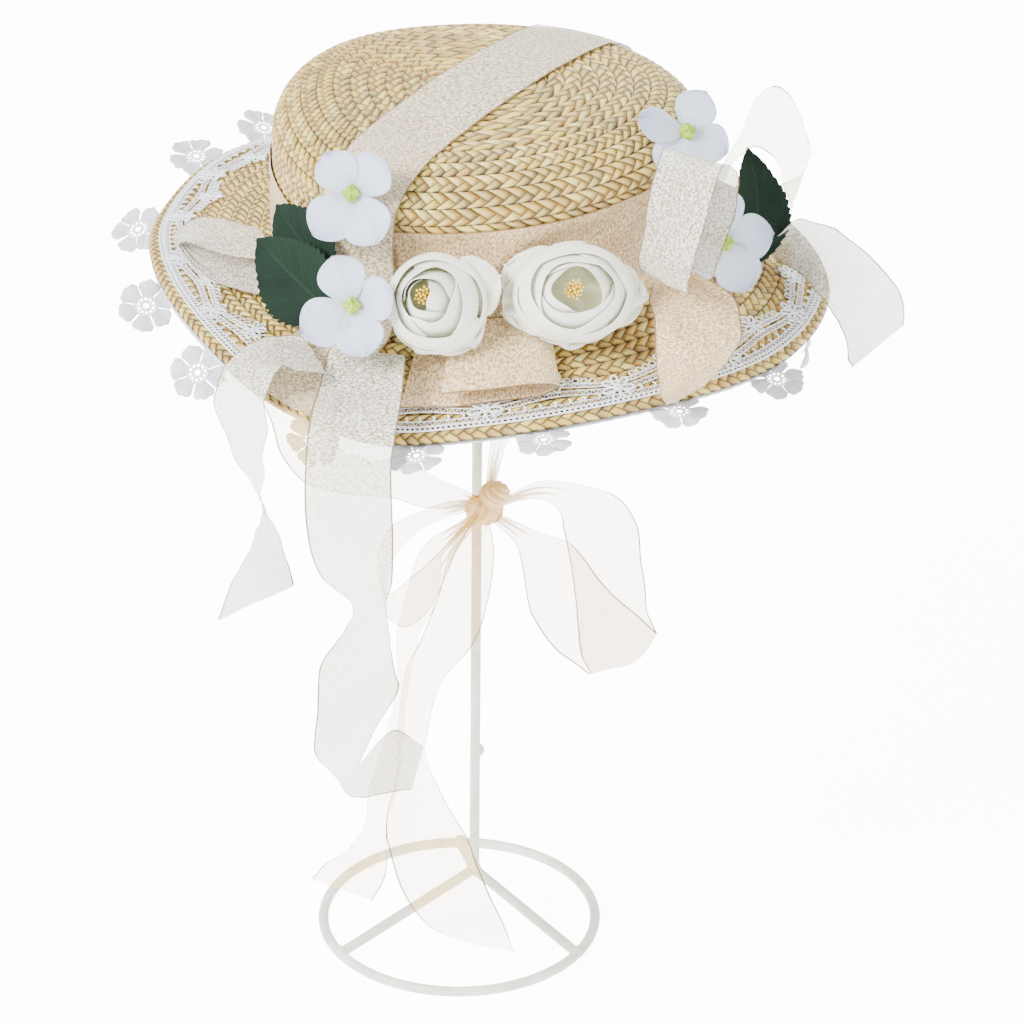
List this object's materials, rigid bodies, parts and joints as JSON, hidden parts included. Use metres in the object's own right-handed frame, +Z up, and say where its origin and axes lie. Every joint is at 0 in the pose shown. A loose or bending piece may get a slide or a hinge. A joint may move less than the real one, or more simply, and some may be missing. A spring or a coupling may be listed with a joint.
{
  "type": "straw hat on wire stand",
  "caption": "Wide-brimmed plaited straw hat trimmed with ribbon bows, cloth flowers, leaves and pierced lace, tied with a long ribbon, held up on a plain wire stand.",
  "frame": {"origin": "centre of the bounding box, at its bottom, which is the underside of the base ring", "axes": "+Z up through the stand; -Y towards the front of the hat, where the roses are; +X to the right as seen from the front"},
  "size_m": [0.3702, 0.33, 0.4734],
  "materials": {
    "wire": "worn white paint",
    "straw": "plaited natural straw",
    "champagne": "crepe ribbon, soft sheen",
    "crepe": "crinkled crepe ribbon",
    "sheer": "sheer organza ribbon",
    "thread": "cotton lace",
    "petal": "satin petals",
    "green": "matte flower centre",
    "gold": "stamens",
    "foliage": "dark green cloth leaf"
  },
  "bodies": {
    "root": {"stand": "wire", "crown": "straw", "brim": "straw", "crown_band": "champagne", "crown_ribbon": "sheer", "lace": "thread", "daisy_trim": "thread", "strap_left": "sheer", "strap_right": "sheer", "tie_knot": "sheer", "tie_tail_left": "sheer", "tie_tail_right": "sheer", "bow_loop_right": "sheer", "bow_loop_left": "sheer", "left_tail": "crepe", "long_tail": "crepe", "right_front_tail": "crepe", "right_side_tail": "crepe", "left_loop": "crepe", "front_loop": "crepe", "roll_loop": "crepe", "back_loop": "crepe", "blossom_1": "petal", "blossom_1_heart": "green", "blossom_2": "petal", "blossom_2_heart": "green", "blossom_3": "petal", "blossom_3_heart": "green", "blossom_4": "petal", "blossom_4_heart": "green", "rose_1": "petal", "rose_1_heart": "gold", "rose_2": "petal", "rose_2_heart": "gold", "leaf_left_upper": "foliage", "leaf_left_lower": "foliage", "leaf_right": "foliage"}
  },
  "joints": []
}
